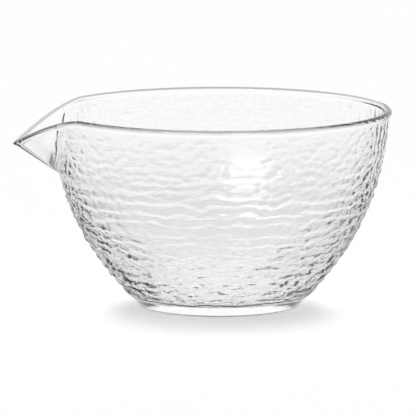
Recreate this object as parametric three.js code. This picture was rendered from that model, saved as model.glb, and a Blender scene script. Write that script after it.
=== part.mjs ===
// Glass pouring bowl: a hammered wall on a clear flat base, with a smooth rim and a V-shaped spout.
// Millimetres, +Z up. The origin is the middle of the underside, on the bowl's axis, and the spout
// points along -X. Angles round the bowl are measured from the spout's keel.
import * as THREE from "three";

// Bowl
const RIM_RADIUS = 59.6; // outside of the wall at the top, without the bead's swell
const HEIGHT = 69; // underside of the base to the top of the lip
const FOOT_RADIUS = 27.4; // outside of the wall where it would meet the table
const RIM_LEAN = 0.11; // how far the wall leans out for each millimetre of height at the rim
const BELLY_POWER = 2.65; // a higher power keeps the wall upright further down
const WALL = 2.2; // thickness of the glass, square to the wall

// Base
const BASE_THICKNESS = 4.2;
const FOOT_ROUND = 2; // radius of the base's lower edge

// Rim
const BEAD_HEIGHT = 2.6; // smooth band from the hammered wall to the top of the lip
const BEAD_WALL = 2.75; // thickness of the lip

// Spout
const SPOUT_OVERHANG = 11.5; // how far the tip stands out past the wall's top
const SPOUT_DEPTH = 22.7; // top of the lip down to where the keel leaves the wall
const SPOUT_FALL = 11; // how far the tip lies below the rest of the lip
const FALL_POWER = 1.5; // a higher power keeps the edge level for longer before it falls
const KEEL_RADIUS = 2.5; // rounding of the spout's keel, seen from above

// Fineness of the surfaces
const COLUMNS = 72;
const SPOUT_COLUMNS = 16;
const ROWS_BELOW_SPOUT = 9;
const ROWS_BESIDE_SPOUT = 6;
const BEAD_ROWS = 3;
const LIP_STEPS = 8;
const FOOT_STEPS = 3;
const SAME_POINT = 1e-6; // points closer than this are one point

const LIP_LEVEL = HEIGHT - BEAD_WALL / 2;
const BEAD_LEVEL = HEIGHT - BEAD_HEIGHT;
const KEEL_FOOT_LEVEL = HEIGHT - SPOUT_DEPTH;
const BELLY = RIM_RADIUS - RIM_LEAN * HEIGHT - FOOT_RADIUS;

const { lerp, clamp, smoothstep } = THREE.MathUtils;

// Outside of the bowl at a level, before the spout and the bead reshape it.
function wallRadius(level) {
  const depth = HEIGHT - level;
  return RIM_RADIUS - RIM_LEAN * depth - BELLY * (depth / HEIGHT) ** BELLY_POWER;
}

// How fast that radius grows with the level.
function wallSlope(level) {
  const share = (HEIGHT - level) / HEIGHT;
  return RIM_LEAN + ((BELLY * BELLY_POWER) / HEIGHT) * share ** (BELLY_POWER - 1);
}

// Outer and inner radius of the glass at a level. The bead swells to the outside.
function glassRadii(level) {
  const swell = smoothstep(level, BEAD_LEVEL, LIP_LEVEL) * (BEAD_WALL - WALL);
  const outer = wallRadius(level);
  const inner = outer - WALL * Math.hypot(1, wallSlope(level));
  return { outer: outer + swell, inner };
}

// The spout at a level: its flat cheeks leave the round wall at a tangent and meet at the keel.
function spoutSection(level) {
  const ring = wallRadius(level);
  const rise = clamp((level - KEEL_FOOT_LEVEL) / (LIP_LEVEL - KEEL_FOOT_LEVEL), 0, 1);
  const reach = lerp(wallRadius(KEEL_FOOT_LEVEL), RIM_RADIUS + SPOUT_OVERHANG, rise);
  const keelLevel = lerp(KEEL_FOOT_LEVEL, LIP_LEVEL - SPOUT_FALL, rise);
  const cheek = Math.acos(Math.min(1, ring / reach));
  const rounding = (KEEL_RADIUS * Math.tan(cheek)) / reach;
  return { ring, cheek, rounding, fall: level - keelLevel, present: rise > 0 };
}

// How the spout moves a point of the round wall: outwards by a factor, and down.
function spoutPull(level, angle) {
  const { cheek, rounding, fall, present } = spoutSection(level);
  if (!present) {
    return { stretch: 1, sink: 0 };
  }
  const fromKeel = Math.hypot(Math.atan2(Math.sin(angle), Math.cos(angle)), rounding);
  const toTangent = Math.max(0, cheek + rounding - fromKeel);
  const share = Math.tan(toTangent) / Math.tan(cheek);
  return { stretch: 1 / Math.cos(toTangent), sink: fall * share ** FALL_POWER };
}

// Angle of the fused seam at a level. The seam stands upright over the foot of the keel.
function seamAngle(level) {
  const { ring, cheek, present } = spoutSection(level);
  if (!present) {
    return 0;
  }
  const seam = wallRadius(KEEL_FOOT_LEVEL);
  return Math.atan((ring / seam - Math.cos(cheek)) / Math.sin(cheek));
}

// A station is one corner of the glass's section: its radius and height, and the level that says
// how the spout pulls it.
function wallStations(levels) {
  const outer = levels.map((level) => ({ radius: glassRadii(level).outer, height: level, level }));
  const inner = levels.map((level) => ({ radius: glassRadii(level).inner, height: level, level }));
  return [...outer, ...inner.reverse()];
}

// The same section with the half-round lip on top.
function lippedStations(levels) {
  const stations = wallStations([...levels, LIP_LEVEL]);
  const { outer, inner } = glassRadii(LIP_LEVEL);
  const lip = [];
  for (let step = 1; step < LIP_STEPS; step++) {
    const turn = (Math.PI * step) / LIP_STEPS;
    lip.push({
      radius: (outer + inner) / 2 + ((outer - inner) / 2) * Math.cos(turn),
      height: LIP_LEVEL + (BEAD_WALL / 2) * Math.sin(turn),
      level: LIP_LEVEL,
    });
  }
  stations.splice(levels.length + 1, 0, ...lip);
  return stations;
}

function place({ radius, height, level }, angle) {
  const { stretch, sink } = spoutPull(level, angle);
  const reach = radius * stretch;
  return new THREE.Vector3(-reach * Math.cos(angle), -reach * Math.sin(angle), height - sink);
}

function levelsBetween(low, high, steps) {
  return Array.from({ length: steps }, (_, step) => lerp(low, high, step / steps));
}

// Closed solid through sections of equal length, each an outer line going up and an inner line coming
// down. A cap closes each end, except where the first section and the last one meet. A face that two
// pieces share is split along the same diagonal in both: outer here to inner there, or low to high.
function loft(sections) {
  const corners = [];
  const same = (a, b) => a.distanceTo(b) < SAME_POINT;
  const triangle = (a, b, c) => {
    if (!same(a, b) && !same(b, c) && !same(c, a)) {
      corners.push(a, b, c);
    }
  };
  const quad = (a, b, c, d) => {
    triangle(a, b, c);
    triangle(a, c, d);
  };
  const bottom = sections[0].length - 1;
  for (let column = 0; column + 1 < sections.length; column++) {
    const [here, there] = [sections[column], sections[column + 1]];
    for (let k = 0; k < bottom; k++) {
      quad(here[k], there[k], there[k + 1], here[k + 1]);
    }
    quad(there[bottom], there[0], here[0], here[bottom]);
  }
  const [first, last] = [sections[0], sections.at(-1)];
  const meets = (k) => same(first[k], last[k]);
  for (let k = 0; k + 1 < bottom - k; k++) {
    const [low, high, innerHigh, innerLow] = [k, k + 1, bottom - k - 1, bottom - k];
    if (![low, high, innerHigh, innerLow].every(meets)) {
      quad(first[low], first[high], first[innerHigh], first[innerLow]);
      quad(last[low], last[innerLow], last[innerHigh], last[high]);
    }
  }
  return new THREE.BufferGeometry().setFromPoints(corners);
}

// Sections from one side of the seam to the other, over the wall or over the spout.
function sweep(stations, columns, angleAt) {
  const sections = [];
  for (let column = 0; column <= columns; column++) {
    sections.push(stations.map((s) => place(s, angleAt(seamAngle(s.level), column / columns))));
  }
  return loft(sections);
}

function roundTheWall(seam, share) {
  return lerp(seam, 2 * Math.PI - seam, share);
}

function acrossTheSpout(seam, share) {
  return lerp(-seam, seam, share);
}

function baseDisc() {
  const side = Math.atan2(1, wallSlope(0));
  const flatRadius = wallRadius(0) - FOOT_ROUND * Math.tan(side / 2);
  const profile = [new THREE.Vector2(0, 0)];
  for (let step = 0; step <= FOOT_STEPS; step++) {
    const turn = (side * step) / FOOT_STEPS;
    const radius = flatRadius + FOOT_ROUND * Math.sin(turn);
    profile.push(new THREE.Vector2(radius, FOOT_ROUND * (1 - Math.cos(turn))));
  }
  profile.push(new THREE.Vector2(wallRadius(BASE_THICKNESS), BASE_THICKNESS));
  profile.push(new THREE.Vector2(0, BASE_THICKNESS));
  return new THREE.LatheGeometry(profile, COLUMNS).rotateX(Math.PI / 2);
}

function bowlWall() {
  const levels = [
    ...levelsBetween(BASE_THICKNESS, KEEL_FOOT_LEVEL, ROWS_BELOW_SPOUT),
    ...levelsBetween(KEEL_FOOT_LEVEL, BEAD_LEVEL, ROWS_BESIDE_SPOUT),
    BEAD_LEVEL,
  ];
  return sweep(wallStations(levels), COLUMNS, roundTheWall);
}

function rimBead() {
  const levels = levelsBetween(BEAD_LEVEL, LIP_LEVEL, BEAD_ROWS);
  return sweep(lippedStations(levels), COLUMNS, roundTheWall);
}

// The spout's rows are the wall's and the bead's, so that their edges meet along the seam.
function pouringSpout() {
  const levels = [
    ...levelsBetween(KEEL_FOOT_LEVEL, BEAD_LEVEL, ROWS_BESIDE_SPOUT),
    ...levelsBetween(BEAD_LEVEL, LIP_LEVEL, BEAD_ROWS),
  ];
  return sweep(lippedStations(levels), SPOUT_COLUMNS, acrossTheSpout);
}

const smoothGlass = new THREE.MeshStandardMaterial({
  color: 0xf2f5f4,
  roughness: 0.03,
  metalness: 0,
  transparent: true,
  opacity: 0.35,
});
const hammeredGlass = smoothGlass.clone();
hammeredGlass.roughness = 0.12;

function piece(name, geometry, material) {
  const mesh = new THREE.Mesh(geometry, material);
  mesh.name = name;
  return mesh;
}

const bowl = new THREE.Group();
bowl.add(
  piece("base_disc", baseDisc(), smoothGlass),
  piece("bowl_wall", bowlWall(), hammeredGlass),
  piece("rim_bead", rimBead(), smoothGlass),
  piece("pouring_spout", pouringSpout(), smoothGlass),
);

export default bowl;
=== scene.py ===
"""Glass pouring bowl: hammered wall, clear base, smooth rim and V-shaped spout, on a white ground.

Shapes are worked out in millimetres, with the spout's keel along -X, and put into meshes in metres.
Angles round the bowl are measured from the keel. A level is a height on the round bowl, before the
spout pulls the glass out and down.
"""
from math import cos, pi, radians, sin, tan

import bmesh
import bpy
import numpy as np
from mathutils import Matrix, Vector


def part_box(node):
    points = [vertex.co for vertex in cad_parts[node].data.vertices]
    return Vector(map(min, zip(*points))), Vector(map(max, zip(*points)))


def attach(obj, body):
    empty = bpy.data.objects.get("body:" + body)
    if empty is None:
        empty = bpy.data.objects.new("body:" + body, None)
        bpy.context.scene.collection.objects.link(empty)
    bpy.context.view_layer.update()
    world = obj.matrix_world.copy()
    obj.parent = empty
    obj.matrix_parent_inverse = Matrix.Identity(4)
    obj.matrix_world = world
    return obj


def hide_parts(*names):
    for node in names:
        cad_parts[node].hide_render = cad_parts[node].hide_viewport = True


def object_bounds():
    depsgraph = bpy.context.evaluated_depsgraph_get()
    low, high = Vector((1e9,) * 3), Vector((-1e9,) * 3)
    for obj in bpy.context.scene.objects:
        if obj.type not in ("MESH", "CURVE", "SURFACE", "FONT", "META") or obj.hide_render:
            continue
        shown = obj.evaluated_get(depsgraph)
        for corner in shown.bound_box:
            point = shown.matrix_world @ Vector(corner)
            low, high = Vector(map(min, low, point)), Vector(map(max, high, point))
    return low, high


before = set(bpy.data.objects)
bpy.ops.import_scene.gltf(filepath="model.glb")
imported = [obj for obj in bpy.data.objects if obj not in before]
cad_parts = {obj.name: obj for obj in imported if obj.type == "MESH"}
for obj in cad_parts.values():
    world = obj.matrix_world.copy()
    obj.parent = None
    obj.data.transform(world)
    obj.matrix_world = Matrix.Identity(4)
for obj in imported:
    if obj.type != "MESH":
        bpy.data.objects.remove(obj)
CAD_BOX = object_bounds()
MM = 0.001
TINY = 1e-9  # keeps a divisor from being nothing
SAME_POINT = 1e-7  # points closer than this, in metres, are one point

# The bowl, as in its solids
HEIGHT = CAD_BOX[1].z / MM
BASE_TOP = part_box("base_disc")[1].z / MM
BEAD_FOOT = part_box("bowl_wall")[1].z / MM
KEEL_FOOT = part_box("pouring_spout")[0].z / MM
RIM_RADIUS = 59.6  # outside of the wall at the top, without the bead's swell
FOOT_RADIUS = 27.4  # outside of the wall where it would meet the ground
RIM_LEAN = 0.11  # how far the wall leans out for each millimetre of height at the rim
BELLY_POWER = 2.65  # a higher power keeps the wall upright further down
WALL = 2.2  # thickness of the glass, square to the wall
BEAD_WALL = 2.75  # thickness of the lip
FOOT_ROUND = 2.0  # radius of the base's lower edge
SPOUT_OVERHANG = 11.5  # how far the tip stands out past the wall's top
SPOUT_FALL = 11.0  # how far the tip lies below the rest of the lip
FALL_POWER = 1.5  # a higher power keeps the edge level for longer before it falls
KEEL_RADIUS = 2.5  # rounding of the spout's keel, seen from above
LIP_LEVEL = HEIGHT - BEAD_WALL / 2
BELLY = RIM_RADIUS - RIM_LEAN * HEIGHT - FOOT_RADIUS

# Hammering on the outside of the wall: pebbles near the rim, strokes in level rows lower down.
# A fade is the two levels between which something comes in or goes out. A noise is its cells round
# the bowl, the rows in a cell, and its seed.
PEBBLES_ROUND = 120
PEBBLE_HEIGHT = 2.4
PEBBLE_SHAKE = (0.42, 0.42)  # how far a mark strays from its cell's middle, round and up, in cells
PEBBLE_SEED = 21
PEBBLE_CAP = 1.0  # a mark rises from its middle by the distance squared, in cells, up to this
PEBBLE_MEAN = 0.35  # taken off that height, so that the wall keeps its size
PEBBLE_DEPTH = 0.42
PEBBLES_BELOW = 0.7  # share of the pebbles' depth that is left among the strokes
PEBBLES_FADE = (28, 50)
STROKES_ROUND = 30
STROKE_SHAKE = (0.45, 0.12)
STROKE_SEED = 11
STROKE_CAP = 0.5
STROKE_MEAN = 0.18
STROKE_DEPTH = 0.42
ROW_PITCH = 4.0  # along the wall
ROW_WOBBLE = 0.4  # in rows
ROW_NOISES = ((30, 1.5, 3), (80, 1, 4))
ROW_DEPTH = 0.36
ROWS_FADE = (40, 60)
STRENGTH = 0.8  # of the strokes and rows, on average
STRENGTH_CHANGE = 0.5
STRENGTH_NOISE = (36, 2, 7)
LOW_GAIN = 0.6  # how much stronger they are low on the wall
LOW_FADE = (12, 30)
FINE_SHARE = 0.6  # strength of the finer of two noises
HAMMER_START = (0.3, 2.5)  # heights above the hem between which the hammering comes in
BEAD_CLEAR = 1.2  # height below the bead in which it goes out

# The wavy hem where the hammering starts, and the ridge along the fused seam
HEM = 0.25  # how far above the base the hem lies
HEM_WAVE = 0.25
HEM_NOISES = ((40, 1, 5), (110, 1, 6))
HEM_STEP = 0.35  # how proud the hammered glass stands over the clear band
HEM_RISE = 0.2  # half the height in which the step rises
HEM_TAPER = 4.0  # height in which it dies away
HEM_BAND = 1.5  # height of the finely divided band that holds the hem
PAINTED_HEM_SHADE_HEIGHT = 0.65  # height of the line of painted shade along it
SEAM_RIDGE = 0.2
SEAM_RIDGE_WIDTH = 0.9
SEAM_SHIFT = 2.2  # how far past the seam the ridge lies, on the wall
SEAM_WAVE = 2.6  # height of one cell of the noise along the ridge
SEAM_CHANGE = 0.6  # share by which the ridge's place and height vary
SEAM_PLACE_SEED = 31
SEAM_HEIGHT_SEED = 32
SEAM_START = 3.0  # height below the keel's foot in which the ridge comes in
SEAM_CLEAR = (2, 7)  # distances from the seam between which the hammering comes in

# What the glass sees: a white room, with painted shade in rings of the ground that only glass rays
# see. A ring is the distances, in metres, between which it comes in, those between which it goes out,
# and how dark it is.
PAINTED_GROUND_SHADE_RINGS = (
    ((0.02, 0.04), (0.05, 0.07), 0.12),
    ((0.05, 0.1), (0.1, 0.4), 0.34),
    ((0.45, 0.55), (0.6, 0.75), 0.1),
)
GLOW = 0.32  # the part of the ground's white that needs no lamp
AMBIENT = 0.28  # how bright the room is for the ground
GROUND_COLOUR = 0.8
GROUND_SIZE = 30
GROUND_DROP = 0.00003  # keeps it clear of the underside

# Glass. A grain is its features in a metre, how far they are flattened, and its depth in metres.
GLASS_COLOUR = (0.992, 0.995, 0.994)
IOR = 1.47
FINE_GRAIN = (90, 1, 0.00006)
HAMMERED_GRAIN = (260, 4, 0.0003)
GRAIN_DETAIL = 2.5
GRAIN_FADE = (0.025, 0.05)  # heights in metres between which the grain gets weaker
GRAIN_ABOVE = 0.4
SHADE_RISE = (0.0, 0.025)  # heights between which the glass lets more light through to the ground
SHADE_TONE = (0.3, 0.98)

# Darker parts of the glass, as shares of its colour. The fold, hem, foot and lip tones are painted
# shade:
# dark lines drawn where refraction would show the glass dark. A shoulder of the lip is given by the
# upward part
# of its normal: where the tone comes in, where it goes out, and the tone itself.
HAMMERED_TONE = 0.985
FOLD_PAINTED_SHADE_TONE = 0.12  # painted shade inside the keel's fold
HEM_PAINTED_SHADE_TONE = 0.02  # painted shade line along the hem
FOOT_PAINTED_SHADE_TONE = 0.1  # painted shade on the rounded edge of the base
# Painted shade on the lip's shoulders: outside, inside and on the spout
OUTER_SHOULDER_PAINTED_SHADE = ((0.35, 0.65), (0.9, 0.99), 0.28)
INNER_SHOULDER_PAINTED_SHADE = ((0.5, 0.75), (0.92, 0.99), 0.45)
SPOUT_SHOULDER_PAINTED_SHADE = ((-0.1, 0.25), (0.78, 0.92), 0.06)

# Fineness of the meshes
WALL_COLUMNS = 540
HEM_ROWS = 14
OUTER_PER_INNER = 5  # rows of the hammered outside for each row of the smooth inside
ROWS_BELOW_SPOUT = 19
ROWS_BESIDE_SPOUT = 9
SPOUT_COLUMNS = 128
PAINTED_FOLD_SHADE_COLUMNS = 4  # columns along the inside of the keel that carry painted shade
BEAD_ROWS = 8
LIP_STEPS = 16  # an even number, so that the lip has a crest
BASE_COLUMNS = 288
FOOT_STEPS = 8
FOOT_PAINTED_SHADE_FROM = 2  # first step of the foot's rounding that carries painted shade
RUN_POINTS = 200  # points on the line along which the wall is measured
OUTSIDE, INSIDE = 0, 1

# Camera
CAMERA_PLACE = (-4.0, -2000.0, 333.3)  # before it is turned round the bowl
CAMERA_PITCH = 0.1486  # how far it looks down, in radians
CAMERA_TURN = radians(1.6)  # the camera stands this far round towards the spout
LENS = 502.5
CLIP_END = 60


def lerp(a, b, t):
    return a + (b - a) * t


def ramp(x, low, high):
    t = np.clip((x - low) / (high - low), 0, 1)
    return t * t * (3 - 2 * t)


def wall_radius(level):
    """Outside of the bowl at a level, before the spout and the bead reshape it."""
    depth = HEIGHT - level
    return RIM_RADIUS - RIM_LEAN * depth - BELLY * (depth / HEIGHT) ** BELLY_POWER


def wall_slope(level):
    """How fast that radius grows with the level."""
    share = (HEIGHT - level) / HEIGHT
    return RIM_LEAN + BELLY * BELLY_POWER / HEIGHT * share ** (BELLY_POWER - 1)


def wall_run(level):
    """Distance along the wall from the ground up to a level."""
    levels = np.linspace(0, HEIGHT, RUN_POINTS)
    steps = np.diff(levels) * np.hypot(1, wall_slope(levels[1:]))
    return np.interp(level, levels, np.concatenate([[0], np.cumsum(steps)]))


def glass_radii(level):
    """Outer and inner radius of the glass. The bead swells to the outside."""
    swell = ramp(level, BEAD_FOOT, LIP_LEVEL) * (BEAD_WALL - WALL)
    outer = wall_radius(level)
    inner = outer - WALL * np.hypot(1, wall_slope(level))
    return outer + swell, inner


def spout_section(level):
    """Half angle of the spout's cheeks, its rounding and its fall, by level."""
    rise = np.clip((level - KEEL_FOOT) / (LIP_LEVEL - KEEL_FOOT), 0, 1)
    reach = lerp(wall_radius(KEEL_FOOT), RIM_RADIUS + SPOUT_OVERHANG, rise)
    keel_level = lerp(KEEL_FOOT, LIP_LEVEL - SPOUT_FALL, rise)
    cheek = np.where(rise > 0, np.arccos(np.minimum(1, wall_radius(level) / reach)), 0)
    rounding = KEEL_RADIUS * np.tan(cheek) / reach
    return cheek, rounding, np.where(rise > 0, level - keel_level, 0)


def spout_pull(level, angle):
    """How the spout moves a point of the round wall: outwards by a factor, and down."""
    cheek, rounding, fall = spout_section(level)
    from_keel = np.hypot(np.arctan2(np.sin(angle), np.cos(angle)), rounding)
    to_tangent = np.maximum(0, cheek + rounding - from_keel)
    share = np.tan(to_tangent) / np.maximum(np.tan(cheek), TINY)
    return 1 / np.cos(to_tangent), fall * share**FALL_POWER


def seam_angle(level):
    """Angle of the fused seam. The seam stands upright over the foot of the keel."""
    cheek, _, _ = spout_section(level)
    stands_at = wall_radius(level) / wall_radius(KEEL_FOOT)
    leans = np.maximum(np.sin(cheek), TINY)
    return np.where(level > KEEL_FOOT, np.arctan((stands_at - np.cos(cheek)) / leans), 0)


def lattice(rows, wrap, seed):
    return np.random.default_rng(seed).uniform(-1, 1, (rows, wrap))


def soft_noise(u, v, wrap, seed):
    """Smooth noise from -1 to 1, one cell to a unit. It closes on itself after wrap cells of u."""
    values = lattice(int(v.max()) + 2, wrap, seed)
    column, row = np.floor(u).astype(int), np.floor(v).astype(int)
    s, t = ramp(u - column, 0, 1), ramp(v - row, 0, 1)
    left, right = column % wrap, (column + 1) % wrap
    low = lerp(values[row, left], values[row, right], s)
    high = lerp(values[row + 1, left], values[row + 1, right], s)
    return lerp(low, high, t)


def round_noise(turn, rows, cells, rows_in_cell, seed):
    return soft_noise(turn * cells, rows / rows_in_cell, cells, seed)


def two_noises(turn, rows, coarse, fine):
    return round_noise(turn, rows, *coarse) + FINE_SHARE * round_noise(turn, rows, *fine)


def hammer_marks(u, v, wrap, shake, seed):
    """Square of the distance to the nearest of one shaken point in each cell, in cells."""
    rows = int(v.max()) + 3
    shake_u = shake[0] * lattice(rows, wrap, seed)
    shake_v = shake[1] * lattice(rows, wrap, seed + 1)
    column, row = np.floor(u).astype(int), np.floor(v).astype(int)
    nearest = np.full(u.shape, np.inf)
    for down in (-1, 0, 1):
        for across in (-1, 0, 1):
            r, c = row + down, column + across
            point_u = c + 0.5 + shake_u[r % rows, c % wrap]
            point_v = r + 0.5 + shake_v[r % rows, c % wrap]
            nearest = np.minimum(nearest, (u - point_u) ** 2 + (v - point_v) ** 2)
    return nearest


def pebbles(turn, level):
    up = level / PEBBLE_HEIGHT + 1
    marks = hammer_marks(turn * PEBBLES_ROUND, up, PEBBLES_ROUND, PEBBLE_SHAKE, PEBBLE_SEED)
    return PEBBLE_DEPTH * (np.minimum(marks, PEBBLE_CAP) - PEBBLE_MEAN)


def strokes(turn, rows):
    marks = hammer_marks(turn * STROKES_ROUND, rows, STROKES_ROUND, STROKE_SHAKE, STROKE_SEED)
    return STROKE_DEPTH * (np.minimum(marks, STROKE_CAP) - STROKE_MEAN)


def ripples(rows, level):
    """Level waves. Low on the wall they have sharp crests, and higher up round ones."""
    across = 2 * (rows - np.floor(rows)) - 1
    sharp = across**2 - 1 / 3
    rounded = np.cos(2 * pi * rows) / 2
    return ROW_DEPTH * lerp(sharp, rounded, ramp(level, *LOW_FADE))


def hem_level(turn):
    """Where the hammering starts, a wavy line round the foot of the wall."""
    return BASE_TOP + HEM + HEM_WAVE * two_noises(turn, 0 * turn, *HEM_NOISES)


def hammering(level, angle):
    """Height of the hammered surface over the smooth wall."""
    turn = np.mod(angle, 2 * pi) / (2 * pi)
    rows = wall_run(level) / ROW_PITCH
    wobbly = rows + 1 + ROW_WOBBLE * two_noises(turn, rows, *ROW_NOISES)
    strength = STRENGTH + STRENGTH_CHANGE * round_noise(turn, rows, *STRENGTH_NOISE)
    strength = strength * (1 + LOW_GAIN * (1 - ramp(level, *LOW_FADE)))
    upper = ramp(level, *PEBBLES_FADE)
    relief = strokes(turn, wobbly) * strength * (1 - upper)
    relief += ripples(wobbly, level) * strength * (1 - ramp(level, *ROWS_FADE))
    relief += pebbles(turn, level) * lerp(PEBBLES_BELOW, 1, upper)
    hem = hem_level(turn)
    comes_in = ramp(level, hem + HAMMER_START[0], hem + HAMMER_START[1])
    goes_out = ramp(level, BEAD_FOOT - BEAD_CLEAR, BEAD_FOOT)
    step = HEM_STEP * ramp(level, hem - HEM_RISE, hem + HEM_RISE)
    return relief * comes_in * (1 - goes_out) + step * (1 - ramp(level, hem, hem + HEM_TAPER))


def past_seam(level, angle):
    """Distance along the wall from the fused seam, less than nothing on the spout."""
    turned = np.abs(np.arctan2(np.sin(angle), np.cos(angle)))
    return (turned - seam_angle(level)) * wall_radius(level)


def seam_ridge(level, angle):
    """A low, wavering ridge where the spout was fused on."""
    waves = level / SEAM_WAVE
    aside = soft_noise(0 * level, waves, 1, SEAM_PLACE_SEED)
    taller = soft_noise(0 * level, waves + 0.5, 1, SEAM_HEIGHT_SEED)
    gap = past_seam(level, angle) - SEAM_SHIFT * (1 + SEAM_CHANGE * aside)
    height = SEAM_RIDGE * (1 + SEAM_CHANGE * taller)
    comes_in = ramp(level, KEEL_FOOT - SEAM_START, KEEL_FOOT)
    return height * np.exp(-((gap / SEAM_RIDGE_WIDTH) ** 2)) * comes_in


def wall_relief(level, angle):
    """The hammering, which keeps clear of the spout, and the ridge along the seam."""
    below = np.maximum(KEEL_FOOT - level, 0)
    clear = ramp(np.hypot(past_seam(level, angle), below), *SEAM_CLEAR)
    return hammering(level, angle) * clear + seam_ridge(level, angle)


def place(radius, height, level, angle, relief=0):
    """Points of the glass. The relief stands square to the wall."""
    steep = np.hypot(1, wall_slope(level))
    radius = radius + relief / steep
    height = height - relief * wall_slope(level) / steep
    stretch, sink = spout_pull(level, angle)
    reach = radius * stretch
    return np.stack([-reach * np.cos(angle), -reach * np.sin(angle), height - sink + 0 * angle], -1)


def new_piece(name, node, points, faces, materials):
    """A closed mesh that stands for a node, with a list of faces for each material.

    The first list holds the faces that are fused to another piece. They are shaded flat, with a sharp
    edge round them.
    """
    mesh = bpy.data.meshes.new(name)
    mesh.from_pydata((points.reshape(-1, 3) * MM).tolist(), [], sum(faces, []))
    for material in materials:
        mesh.materials.append(material)
    index = np.repeat(np.arange(len(faces)), [len(part) for part in faces])
    mesh.polygons.foreach_set("material_index", index.astype(np.int32))
    mesh.polygons.foreach_set("use_smooth", index > 0)
    work = bmesh.new()
    work.from_mesh(mesh)
    bmesh.ops.remove_doubles(work, verts=work.verts, dist=SAME_POINT)
    bmesh.ops.recalc_face_normals(work, faces=work.faces)
    for edge in work.edges:
        edge.smooth = len({face.material_index == 0 for face in edge.link_faces}) == 1
    work.to_mesh(mesh)
    work.free()
    piece = bpy.data.objects.new(name, mesh)
    bpy.context.collection.objects.link(piece)
    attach(piece, "root")
    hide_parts(node)


def strip(first, second, columns):
    """Quads between two stations of a sweep, whose points lie one station after another."""
    a = first * (columns + 1) + np.arange(columns)
    b = second * (columns + 1) + np.arange(columns)
    return np.stack([a, a + 1, b + 1, b], -1).tolist()


def end_faces(ring, columns):
    """A face through a ring of stations, at the first and at the last column of a sweep."""
    return [[station * (columns + 1) + column for station in ring] for column in (0, columns)]


def levels_between(low, high, steps):
    return np.linspace(low, high, steps, endpoint=False)


def round_the_wall(seam, share):
    return lerp(seam, 2 * pi - seam, share)


def across_the_spout(seam, share):
    return lerp(-seam, seam, share)


def sweep(levels, columns, angle_at, side, relief=None):
    """Points of one side of the glass, one row of columns to a level."""
    share = np.arange(columns + 1) / columns
    level = np.repeat(levels[:, None], columns + 1, 1)
    angle = angle_at(seam_angle(level), share[None, :])
    radius = glass_radii(level)[side]
    return place(radius, level, level, angle, relief(level, angle) if relief else 0)


def lip_points(columns, angle_at):
    """The half-round lip, from its outside over the top to its inside."""
    share = np.arange(columns + 1) / columns
    turn = np.repeat((pi * np.arange(1, LIP_STEPS) / LIP_STEPS)[:, None], columns + 1, 1)
    level = np.full_like(turn, LIP_LEVEL)
    angle = angle_at(seam_angle(level), share[None, :])
    outer, inner = glass_radii(level)
    radius = (outer + inner) / 2 + (outer - inner) / 2 * np.cos(turn)
    return place(radius, LIP_LEVEL + BEAD_WALL / 2 * np.sin(turn), level, angle)


def hem_faces(levels):
    """The lowest rows of the wall's outside, and apart from them the line along the hem, which carries
    painted shade.
    """
    hem = hem_level((np.arange(WALL_COLUMNS) + 0.5) / WALL_COLUMNS)
    faces, shaded_line = [], []
    for k in range(HEM_ROWS):
        above = (levels[k] + levels[k + 1]) / 2 - hem
        shaded = (above > 0) & (above < PAINTED_HEM_SHADE_HEIGHT)
        for column, face in enumerate(strip(k, k + 1, WALL_COLUMNS)):
            (shaded_line if shaded[column] else faces).append(face)
    return faces, shaded_line


def make_wall():
    """The hammered wall, with the notch that the spout fills."""
    inner_levels = np.concatenate([
        levels_between(BASE_TOP, KEEL_FOOT, ROWS_BELOW_SPOUT),
        levels_between(KEEL_FOOT, BEAD_FOOT, ROWS_BESIDE_SPOUT),
        [BEAD_FOOT],
    ])
    outer_levels = np.concatenate([
        levels_between(BASE_TOP, BASE_TOP + HEM_BAND, HEM_ROWS),
        levels_between(BASE_TOP + HEM_BAND, KEEL_FOOT, ROWS_BELOW_SPOUT * OUTER_PER_INNER),
        levels_between(KEEL_FOOT, BEAD_FOOT, ROWS_BESIDE_SPOUT * OUTER_PER_INNER),
        [BEAD_FOOT],
    ])
    outer = sweep(outer_levels, WALL_COLUMNS, round_the_wall, OUTSIDE, wall_relief)
    inner = sweep(inner_levels, WALL_COLUMNS, round_the_wall, INSIDE)
    points = np.concatenate([outer, inner[::-1]])
    top, last = len(outer_levels) - 1, len(points) - 1
    # The line along the hem carries painted shade
    faces, painted_hem_shade = hem_faces(outer_levels)
    for k in range(HEM_ROWS, last):
        if k != top:
            faces += strip(k, k + 1, WALL_COLUMNS)
    fused = strip(top, top + 1, WALL_COLUMNS) + strip(last, 0, WALL_COLUMNS)
    for row in range(ROWS_BELOW_SPOUT, len(inner_levels) - 1):
        low = HEM_ROWS + row * OUTER_PER_INNER
        ring = [*range(low, low + OUTER_PER_INNER + 1), last - row - 1, last - row]
        fused += end_faces(ring, WALL_COLUMNS)
    parts, materials = [fused, faces, painted_hem_shade], [FUSED, HAMMERED, HEM_PAINTED_SHADE]
    new_piece("hammered_wall", "bowl_wall", points, parts, materials)


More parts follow.
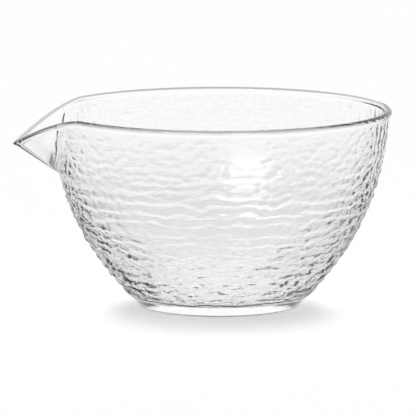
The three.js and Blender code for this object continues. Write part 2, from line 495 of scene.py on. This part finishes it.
def make_lipped(name, node, low_levels, columns, angle_at, outer_lip, painted_fold_columns=0):
    """A piece that ends in the lip: the rim or the spout."""
    bead_levels = levels_between(BEAD_FOOT, LIP_LEVEL, BEAD_ROWS)
    levels = np.concatenate([low_levels, bead_levels, [LIP_LEVEL]])
    outer = sweep(levels, columns, angle_at, OUTSIDE, seam_ridge)
    inner = sweep(levels, columns, angle_at, INSIDE)
    points = np.concatenate([outer, lip_points(columns, angle_at), inner[::-1]])
    last = len(points) - 1
    strips = [strip(k, k + 1, columns) for k in range(last)]
    lip = len(levels) - 1
    crest, inside = lip + LIP_STEPS // 2, lip + LIP_STEPS
    # Painted shade: the columns along the inside of the keel get the darker glass
    first = (columns - painted_fold_columns) // 2
    keel = slice(first, first + painted_fold_columns)
    fold = []
    for quads in strips[inside:]:
        fold += quads[keel]
        del quads[keel]
    fused = strip(last, 0, columns)
    for k in range(len(points) // 2):
        fused += end_faces(sorted({k, k + 1, last - k - 1, last - k}), columns)
    # The lip's outside and inside carry painted shade on their shoulders
    parts = [
        fused,
        sum(strips[:lip] + strips[inside:], []),
        sum(strips[lip:crest], []),
        sum(strips[crest:inside], []),
        fold,
    ]
    materials = [FUSED, CLEAR, outer_lip, INNER_LIP_PAINTED_SHADE, FOLD_PAINTED_SHADE]
    new_piece(name, node, points, parts, materials)


def make_rim():
    make_lipped("rim", "rim_bead", np.array([]), WALL_COLUMNS, round_the_wall, OUTER_LIP_PAINTED_SHADE)


def make_spout():
    """The spout. Beside the wall, its rows are those of the wall's outside."""
    low = levels_between(KEEL_FOOT, BEAD_FOOT, ROWS_BESIDE_SPOUT * OUTER_PER_INNER)
    make_lipped(
        "spout", "pouring_spout", low, SPOUT_COLUMNS, across_the_spout, SPOUT_LIP_PAINTED_SHADE, PAINTED_FOLD_SHADE_COLUMNS
    )


def make_base():
    """The clear disc, with a rounded lower edge that mostly carries painted shade. A ring of its top
    is fused to the wall.
    """
    slant = np.arctan2(1, wall_slope(0))
    flat = wall_radius(0) - FOOT_ROUND * tan(slant / 2)
    turns = np.linspace(0, slant, FOOT_STEPS + 1)
    inner = glass_radii(BASE_TOP)[INSIDE]
    radii = np.concatenate([flat + FOOT_ROUND * np.sin(turns), [wall_radius(BASE_TOP), inner]])
    heights = np.concatenate([FOOT_ROUND * (1 - np.cos(turns)), [BASE_TOP, BASE_TOP]])
    angle = 2 * pi * np.arange(BASE_COLUMNS + 1) / BASE_COLUMNS
    x = np.cos(angle)[None, :] * radii[:, None]
    y = np.sin(angle)[None, :] * radii[:, None]
    z = np.repeat(heights[:, None], BASE_COLUMNS + 1, 1)
    last = len(radii) - 1
    # Painted shade: most steps of the foot's rounding get the darker glass
    faces, edge = [], []
    for k in range(last - 1):
        shaded = FOOT_PAINTED_SHADE_FROM <= k < FOOT_STEPS
        (edge if shaded else faces).extend(strip(k, k + 1, BASE_COLUMNS))
    underside = list(range(BASE_COLUMNS))[::-1]
    inside = [last * (BASE_COLUMNS + 1) + k for k in range(BASE_COLUMNS)]
    fused = strip(last - 1, last, BASE_COLUMNS)
    parts, materials = [fused, faces + [underside, inside], edge], [FUSED, CLEAR, FOOT_EDGE_PAINTED_SHADE]
    new_piece("base", "base_disc", np.stack([x, y, z], -1), parts, materials)


def math_node(tree, operation, a, b):
    node = tree.nodes.new("ShaderNodeMath")
    node.operation = operation
    for socket, value in zip(node.inputs, (a, b)):
        if isinstance(value, (int, float)):
            socket.default_value = value
        else:
            tree.links.new(value, socket)
    return node.outputs[0]


def fade(tree, value, low, high, start=0.0, end=1.0):
    """A smooth change from start to end, while the value goes from low to high."""
    node = tree.nodes.new("ShaderNodeMapRange")
    node.interpolation_type = "SMOOTHSTEP"
    for name, number in zip(("From Min", "From Max", "To Min", "To Max"), (low, high, start, end)):
        node.inputs[name].default_value = number
    tree.links.new(value, node.inputs["Value"])
    return node.outputs[0]


def band(tree, value, comes_in, goes_out, height=1):
    """Nothing outside a range of the value, and the height inside it."""
    rise = fade(tree, value, *comes_in)
    return math_node(tree, "MULTIPLY", rise, fade(tree, value, *goes_out, height, 0))


def upward_part(tree, vector):
    parts = tree.nodes.new("ShaderNodeSeparateXYZ")
    tree.links.new(vector, parts.inputs[0])
    return parts.outputs["Z"]


def ray_kinds(tree):
    """Whether a ray comes from the camera, and whether it comes through or off the glass."""
    path = tree.nodes.new("ShaderNodeLightPath")
    kinds = path.outputs["Is Glossy Ray"], path.outputs["Is Transmission Ray"]
    return path.outputs["Is Camera Ray"], math_node(tree, "MAXIMUM", *kinds)


def node_tree(name):
    material = bpy.data.materials.new(name)
    material.use_nodes = True
    tree = material.node_tree
    tree.nodes.clear()
    return material, tree, tree.nodes.new("ShaderNodeOutputMaterial")


def fused_material():
    """A face inside the glass, where two pieces are one: light goes straight on."""
    material, tree, output = node_tree("fused_face")
    through = tree.nodes.new("ShaderNodeBsdfTransparent")
    tree.links.new(through.outputs[0], output.inputs["Surface"])
    return material


def painted_shoulder_shade(tree, comes_in, goes_out, tone):
    """Painted shade: darker on a shoulder of the lip, clear on its crest and its side."""
    normal = tree.nodes.new("ShaderNodeNewGeometry").outputs["Normal"]
    shoulder_shade = band(tree, upward_part(tree, normal), comes_in, goes_out)
    return fade(tree, shoulder_shade, 0, 1, GLASS_COLOUR[1], tone)


def grain_normal(tree, point, grain):
    """A fine unevenness of the surface, weaker high on the bowl."""
    features, flatten, depth = grain
    new, link = tree.nodes.new, tree.links.new
    flat = new("ShaderNodeVectorMath")
    flat.operation = "MULTIPLY"
    flat.inputs[1].default_value = (1, 1, flatten)
    link(point, flat.inputs[0])
    noise = new("ShaderNodeTexNoise")
    noise.inputs["Scale"].default_value = features
    noise.inputs["Detail"].default_value = GRAIN_DETAIL
    link(flat.outputs[0], noise.inputs["Vector"])
    bump = new("ShaderNodeBump")
    bump.inputs["Strength"].default_value = 1
    bump.inputs["Distance"].default_value = depth
    weaker = fade(tree, upward_part(tree, point), *GRAIN_FADE, 1, GRAIN_ABOVE)
    link(math_node(tree, "MULTIPLY", noise.outputs["Fac"], weaker), bump.inputs["Height"])
    return bump.outputs["Normal"]


def glass_material(name, grain=FINE_GRAIN, shoulder_shade=None, tone=1):
    """Clear glass with a grain. A shoulder band or a lower tone darkens its colour, which the lip,
    hem, foot and fold use as painted shade. Its shadow is darkest close to the ground.
    """
    material, tree, output = node_tree(name)
    new, link = tree.nodes.new, tree.links.new
    point = new("ShaderNodeTexCoord").outputs["Object"]
    glass = new("ShaderNodeBsdfPrincipled")
    glass.inputs["Base Color"].default_value = [tone * part for part in GLASS_COLOUR] + [1]
    if shoulder_shade:
        link(painted_shoulder_shade(tree, *shoulder_shade), glass.inputs["Base Color"])
    glass.inputs["Transmission Weight"].default_value = 1
    glass.inputs["IOR"].default_value = IOR
    glass.inputs["Roughness"].default_value = 0
    link(grain_normal(tree, point, grain), glass.inputs["Normal"])
    shade = new("ShaderNodeBsdfTransparent")
    link(fade(tree, upward_part(tree, point), *SHADE_RISE, *SHADE_TONE), shade.inputs["Color"])
    path = new("ShaderNodeLightPath")
    mix = new("ShaderNodeMixShader")
    link(path.outputs["Is Shadow Ray"], mix.inputs["Fac"])
    link(glass.outputs[0], mix.inputs[1])
    link(shade.outputs[0], mix.inputs[2])
    link(mix.outputs[0], output.inputs["Surface"])
    return material


def painted_ground_shade(tree):
    """How light the ground is: painted shade in rings, by distance from the bowl's axis."""
    point = tree.nodes.new("ShaderNodeTexCoord").outputs["Object"]
    length = tree.nodes.new("ShaderNodeVectorMath")
    length.operation = "LENGTH"
    tree.links.new(point, length.inputs[0])
    tone = 1.0
    for ring in PAINTED_GROUND_SHADE_RINGS:
        ring_shade = band(tree, length.outputs["Value"], *ring)
        tone = math_node(tree, "MULTIPLY", tone, math_node(tree, "SUBTRACT", 1.0, ring_shade))
    return tone


def make_floor():
    """White ground with the bowl's shadow. Seen through glass, it has rings of painted shade."""
    material, tree, output = node_tree("white_ground")
    new, link = tree.nodes.new, tree.links.new
    in_camera, in_glass = ray_kinds(tree)
    not_in_glass = math_node(tree, "SUBTRACT", 1.0, in_glass)
    lit = new("ShaderNodeBsdfDiffuse")
    link(math_node(tree, "MULTIPLY", not_in_glass, GROUND_COLOUR), lit.inputs["Color"])
    plain = math_node(tree, "MULTIPLY", in_camera, GLOW)
    # Painted shade in rings, seen only through the glass
    painted_rings = math_node(tree, "MULTIPLY", in_glass, painted_ground_shade(tree))
    glow = new("ShaderNodeEmission")
    link(math_node(tree, "ADD", plain, painted_rings), glow.inputs["Strength"])
    add = new("ShaderNodeAddShader")
    link(lit.outputs[0], add.inputs[0])
    link(glow.outputs[0], add.inputs[1])
    link(add.outputs[0], output.inputs["Surface"])
    bpy.ops.mesh.primitive_plane_add(size=GROUND_SIZE, location=(0, 0, -GROUND_DROP))
    floor = bpy.context.object
    floor.name = "ground"
    floor.data.materials.append(material)


def make_world():
    """White for the camera and for glass, and dimmer for the ground."""
    world = bpy.data.worlds.new("studio")
    bpy.context.scene.world = world
    world.use_nodes = True
    tree = world.node_tree
    tree.nodes.clear()
    new, link = tree.nodes.new, tree.links.new
    white = math_node(tree, "MAXIMUM", *ray_kinds(tree))
    background = new("ShaderNodeBackground")
    background.inputs["Color"].default_value = (1, 1, 1, 1)
    link(math_node(tree, "MAXIMUM", white, AMBIENT), background.inputs["Strength"])
    output = new("ShaderNodeOutputWorld")
    link(background.outputs[0], output.inputs["Surface"])


def towards(heading, rise):
    """Direction in degrees, from the camera's side to the right and up."""
    turn, lift = radians(heading), radians(rise)
    return Vector((sin(turn) * cos(lift), -cos(turn) * cos(lift), sin(lift)))


def add_lamp(name, light, away):
    """A lamp that shines from a direction and doesn't show through glass."""
    lamp = bpy.data.objects.new(name, light)
    bpy.context.collection.objects.link(lamp)
    lamp.rotation_euler = away.to_track_quat("Z", "Y").to_euler()
    lamp.visible_transmission = False
    return lamp


def softbox(name, heading, rise, distance, width, height, radiance):
    """A lit rectangle aimed at the bowl. It shows in reflections only."""
    light = bpy.data.lights.new(name, "AREA")
    light.shape = "RECTANGLE"
    light.size = width
    light.size_y = height
    light.energy = radiance * pi * width * height
    away = towards(heading, rise)
    lamp = add_lamp(name, light, away)
    lamp.location = Vector((0, 0, HEIGHT * MM / 2)) + away * distance
    lamp.visible_diffuse = False


def broad_light(name, heading, rise, spread, irradiance):
    """Soft light from a broad patch of the sky, the same all over the ground."""
    light = bpy.data.lights.new(name, "SUN")
    light.angle = radians(spread)
    light.energy = irradiance
    lamp = add_lamp(name, light, towards(heading, rise))
    lamp.visible_glossy = False


def make_camera():
    data = bpy.data.cameras.new("camera")
    data.lens = LENS
    data.clip_end = CLIP_END
    camera = bpy.data.objects.new("camera", data)
    bpy.context.collection.objects.link(camera)
    camera.location = Matrix.Rotation(-CAMERA_TURN, 3, "Z") @ Vector(CAMERA_PLACE) * MM
    camera.rotation_euler = (pi / 2 - CAMERA_PITCH, 0, -CAMERA_TURN)
    bpy.context.scene.camera = camera


FUSED = fused_material()
CLEAR = glass_material("clear_glass")
# Glass with painted shade on the lip's shoulders
OUTER_LIP_PAINTED_SHADE = glass_material("outer_lip_painted_shade_glass", shoulder_shade=OUTER_SHOULDER_PAINTED_SHADE)
INNER_LIP_PAINTED_SHADE = glass_material("inner_lip_painted_shade_glass", shoulder_shade=INNER_SHOULDER_PAINTED_SHADE)
# Glass with painted shade along the hem
HEM_PAINTED_SHADE = glass_material("hem_painted_shade_glass", tone=HEM_PAINTED_SHADE_TONE)
# Glass with painted shade on the foot's rounded edge
FOOT_EDGE_PAINTED_SHADE = glass_material("foot_edge_painted_shade_glass", tone=FOOT_PAINTED_SHADE_TONE)
SPOUT_LIP_PAINTED_SHADE = glass_material("spout_lip_painted_shade_glass", shoulder_shade=SPOUT_SHOULDER_PAINTED_SHADE)
# Glass with painted shade inside the keel's fold
FOLD_PAINTED_SHADE = glass_material("fold_painted_shade_glass", tone=FOLD_PAINTED_SHADE_TONE)
HAMMERED = glass_material("hammered_glass", HAMMERED_GRAIN, tone=HAMMERED_TONE)

make_camera()
make_base()
make_wall()
make_rim()
make_spout()
make_floor()
make_world()
softbox("softbox", heading=-25, rise=33, distance=4, width=2.2, height=1.4, radiance=6.0)
broad_light("overhead", heading=180, rise=40, spread=36, irradiance=2.74)
bpy.context.scene.view_settings.view_transform = "Standard"
